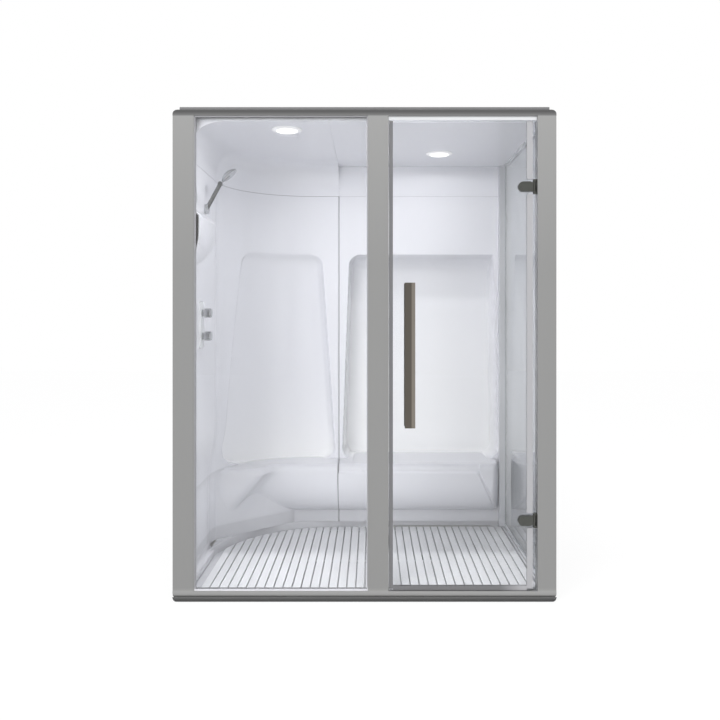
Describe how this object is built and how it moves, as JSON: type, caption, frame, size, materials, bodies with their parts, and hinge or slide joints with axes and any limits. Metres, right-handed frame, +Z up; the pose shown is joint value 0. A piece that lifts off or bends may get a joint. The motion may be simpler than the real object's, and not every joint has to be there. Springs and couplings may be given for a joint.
{
  "type": "steam sauna cabin",
  "caption": "Glazed steam cabin in an aluminium frame with a hinged glass door, moulded seats, slatted floor, downlights, shower arm and mixer.",
  "frame": {"origin": "middle of the footprint of the frame, on the floor", "axes": "+Z up, +X to the right seen from the front, the glazed front faces -Y"},
  "size_m": [1.7, 1.383, 2.2],
  "materials": {
    "satin_aluminium": "satin anodised",
    "dark_aluminium": "satin anodised, darker",
    "light_aluminium": "bright anodised",
    "base_steel": "powder coated",
    "outer_white": "white laminate",
    "roof_grey": "grey laminate",
    "white_acrylic": "gloss moulded acrylic",
    "slat_white": "satin white",
    "clear_glass": "clear toughened",
    "tinted_glass": "grey tinted, reflective coating",
    "grey_gasket": "soft gasket",
    "clear_seal": "translucent seal",
    "hinge_metal": "dark satin",
    "steel": "satin",
    "bronze_bar": "brushed bronze",
    "batten_wood": "planed softwood",
    "light_trim": "white, lets light through",
    "white_trim": "white",
    "light_lens": "opal",
    "housing_metal": "sheet metal",
    "grey_plastic": "moulded",
    "chrome": "polished",
    "dark_chrome": "polished, dark",
    "pipe_steel": "stainless tube"
  },
  "bodies": {
    "cabin": {"sill_front": "satin_aluminium", "sill_right": "satin_aluminium", "sill_rear": "satin_aluminium", "sill_left": "satin_aluminium", "left_post": "satin_aluminium", "centre_post": "satin_aluminium", "right_post": "satin_aluminium", "rear_left_post": "satin_aluminium", "rear_right_post": "satin_aluminium", "cornice_front": "dark_aluminium", "cornice_right": "dark_aluminium", "cornice_rear": "dark_aluminium", "cornice_left": "dark_aluminium", "door_header": "light_aluminium", "side_glass_top_profile": "light_aluminium", "side_glass_rear_profile": "light_aluminium", "side_glass_bottom_profile": "light_aluminium", "base_frame": "base_steel", "left_outer_panel": "outer_white", "right_rear_outer_panel": "outer_white", "roof_panel": "roof_grey", "shower_tray": "white_acrylic", "right_seat_panel": "white_acrylic", "corner_seat_panel": "white_acrylic", "left_wall_panel": "white_acrylic", "ceiling_left": "white_acrylic", "ceiling_right": "white_acrylic", "floor_slats": "slat_white", "slat_bearers": "slat_white", "fixed_glass": "clear_glass", "side_glass": "tinted_glass", "fixed_glass_gasket": "grey_gasket", "hinge_frame_leaves": "hinge_metal", "hinge_pins": "steel", "drain_cover": "steel", "seam_batten": "batten_wood", "light_trims": "light_trim", "mixer_plate": "white_trim", "light_lenses": "light_lens", "light_housings": "housing_metal", "steam_generator": "housing_metal", "light_driver": "grey_plastic", "drain_body": "grey_plastic", "mixer_body": "chrome", "shower_bracket": "chrome", "shower_arm": "dark_chrome", "steam_pipe": "pipe_steel"},
    "door": {"door_glass": "clear_glass", "door_latch_seal": "clear_seal", "door_bottom_seal": "clear_seal", "door_hinge_seal": "clear_seal", "hinge_clamps_outer": "hinge_metal", "hinge_clamps_inner": "hinge_metal", "door_fasteners": "steel", "handle_bar_outer": "bronze_bar", "handle_bar_inner": "bronze_bar", "handle_standoffs": "bronze_bar"},
    "shower_head": {"shower_head": "chrome"},
    "temperature_knob": {"temperature_knob": "chrome"},
    "flow_knob": {"flow_knob": "chrome"}
  },
  "joints": [
    {"name": "door_swing", "type": "hinge", "parent": "cabin", "child": "door", "pos_m": [0.7555, -0.661, 0.05], "axis": [0, 0, 1], "range_deg": [0, 95]},
    {"name": "shower_head_tilt", "type": "hinge", "parent": "cabin", "child": "shower_head", "pos_m": [-0.705, -0.338, 1.912], "axis": [0, 1, 0], "range_deg": [-15, 25]},
    {"name": "temperature_knob_turn", "type": "hinge", "parent": "cabin", "child": "temperature_knob", "pos_m": [-0.7705, -0.435, 1.2825], "axis": [1, 0, 0], "range_deg": [-90, 90]},
    {"name": "flow_knob_turn", "type": "hinge", "parent": "cabin", "child": "flow_knob", "pos_m": [-0.7705, -0.435, 1.1735], "axis": [1, 0, 0], "range_deg": [0, 90]}
  ]
}
